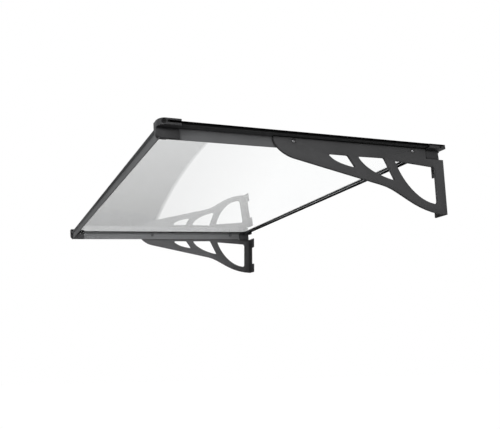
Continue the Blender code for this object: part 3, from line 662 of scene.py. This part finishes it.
# a black card on a plane past the far end, which the sheet reflects
# its near edge is an arc, with a soft rim and a wide faint halo; corners are (y, z)
cardLook = {
    "planeX": -1.6,
    "arcY": 1.590,
    "arcZ": 0.762,
    "arcRadius": 2.104,
    "arcLowZ": -0.820,
    "arcHighZ": -0.160,
    "arcSteps": 12,
    "lowCorner": (0.50, -1.25),
    "highCorner": (-0.330, -0.08),
    "farY": -2.2,
    "softness": 0.014,
    "haloWide": 0.75,
    "haloShare": 0.24,  # how much of the card shows at the halo's inner side
    "tone": 4.0,
    "light": (0.004, 0.004, 0.004),
}


def cardRim(look):
    rim = [look["lowCorner"]]
    for step in range(look["arcSteps"] + 1):
        z = look["arcLowZ"] + (look["arcHighZ"] - look["arcLowZ"]) * step / look["arcSteps"]
        reach = math.sqrt(look["arcRadius"] ** 2 - (z - look["arcZ"]) ** 2)
        rim.append((look["arcY"] - reach, z))
    rim.append(look["highCorner"])
    return rim


def cardFinish(look):
    made, tree, shader = freshMaterial("cardBlack")
    tone = mixColours(tree, noiseOn(tree, objectCoords(tree), look["tone"]), black, look["light"])
    fade = addNode(tree, "ShaderNodeAttribute", {"attribute_name": "fade"})
    # the card shows only in reflections, never straight through the sheet
    path = addNode(tree, "ShaderNodeLightPath")
    shown = mathOn(tree, "MULTIPLY", path.outputs["Glossy Depth"], fade.outputs["Fac"], clamp=True)
    tree.links.new(shown, shader.inputs["Alpha"])
    tree.links.new(tone, shader.inputs["Base Color"])
    shader.inputs["Specular IOR Level"].default_value = 0.0
    return made


rim = cardRim(cardLook)
count = len(rim)
points = []
for offset in (cardLook["haloWide"], cardLook["softness"], -cardLook["softness"]):
    points.extend((cardLook["planeX"], y + offset, z) for y, z in rim)
points.extend((cardLook["planeX"], cardLook["farY"], z) for z in (rim[-1][1], rim[0][1]))
faces = []
for start in (0, count):
    faces.extend((at, at + 1, at + count + 1, at + count) for at in range(start, start + count - 1))
faces.append(tuple(range(2 * count, 3 * count + 2)))
card = studioMesh("blackCard", points, faces)
fade = card.data.attributes.new("fade", "FLOAT", "POINT")
fade.data.foreach_set("value", [0.0] * count + [cardLook["haloShare"]] * count + [1.0] * (count + 2))
card.data.materials.append(cardFinish(cardLook))
card.visible_camera = False
card.visible_diffuse = False
card.visible_shadow = False

# soft round lamps, in front of and beside the near end
lampLook = {
    "keyLamp": {"place": (2.1, -2.6, 0.25), "aim": (0.4, -0.6, -0.02), "size": 1.2, "power": 46.0},
    "sideLamp": {"place": (3.4, 0.0, 0.15), "aim": (0.7, -0.4, -0.05), "size": 1.2, "power": 20.0},
}
# narrow beams under the roof, one for the inner face of the far side and one for the rear rail's face
beamLook = {
    "sideBeam": {"place": (0.60, -0.90, -0.75), "aim": (-0.72, -0.55, -0.06), "power": 100.0, "cone": 36.0},
    "rearBeam": {"place": (0.40, -1.15, -0.50), "aim": (0.10, 0.0, -0.04), "power": 70.0, "cone": 48.0},
}
beamEdge = {"blend": 0.35, "sourceRadius": 0.12}


def hangLight(name, light, look):
    holder = bpy.data.objects.new(name, light)
    holder.location = look["place"]
    toward = Vector(look["aim"]) - Vector(look["place"])
    holder.rotation_euler = toward.to_track_quat("-Z", "Y").to_euler()
    bpy.context.scene.collection.objects.link(holder)
    return holder


for lampName, lamp in lampLook.items():
    light = bpy.data.lights.new(lampName, "AREA")
    light.shape = "DISK"
    light.size = lamp["size"]
    light.energy = lamp["power"]
    hangLight(lampName, light, lamp)
for beamName, beam in beamLook.items():
    light = bpy.data.lights.new(beamName, "SPOT")
    light.energy = beam["power"]
    light.spot_size = math.radians(beam["cone"])
    light.spot_blend = beamEdge["blend"]
    light.shadow_soft_size = beamEdge["sourceRadius"]
    hangLight(beamName, light, beam).visible_glossy = False
print("studio lit")

# camera at the photograph's place, low in front of the right-hand corner; lens in mm
cameraLook = {
    "place": (2.0519, -1.2899, -0.6420),
    "yaw": 65.09,  # degrees
    "pitch": 13.47,  # degrees above level
    "roll": -0.0035,  # radians
    "lens": 41.76,
    "sensor": 36.0,
    "shiftY": 0.0005,
}
cameraData = bpy.data.cameras.new("photoCamera")
cameraData.lens = cameraLook["lens"]
cameraData.sensor_width = cameraLook["sensor"]
cameraData.shift_y = cameraLook["shiftY"]
camera = bpy.data.objects.new("photoCamera", cameraData)
lensTilt = math.pi / 2 + math.radians(cameraLook["pitch"])
facing = Euler((lensTilt, 0, math.radians(cameraLook["yaw"])), "XYZ").to_matrix()
roll = Euler((0, 0, cameraLook["roll"]), "XYZ").to_matrix()
camera.rotation_euler = (facing @ roll).to_euler()
camera.location = cameraLook["place"]
bpy.context.scene.collection.objects.link(camera)
bpy.context.scene.camera = camera
bpy.context.scene.view_settings.view_transform = "Standard"
print("camera placed")
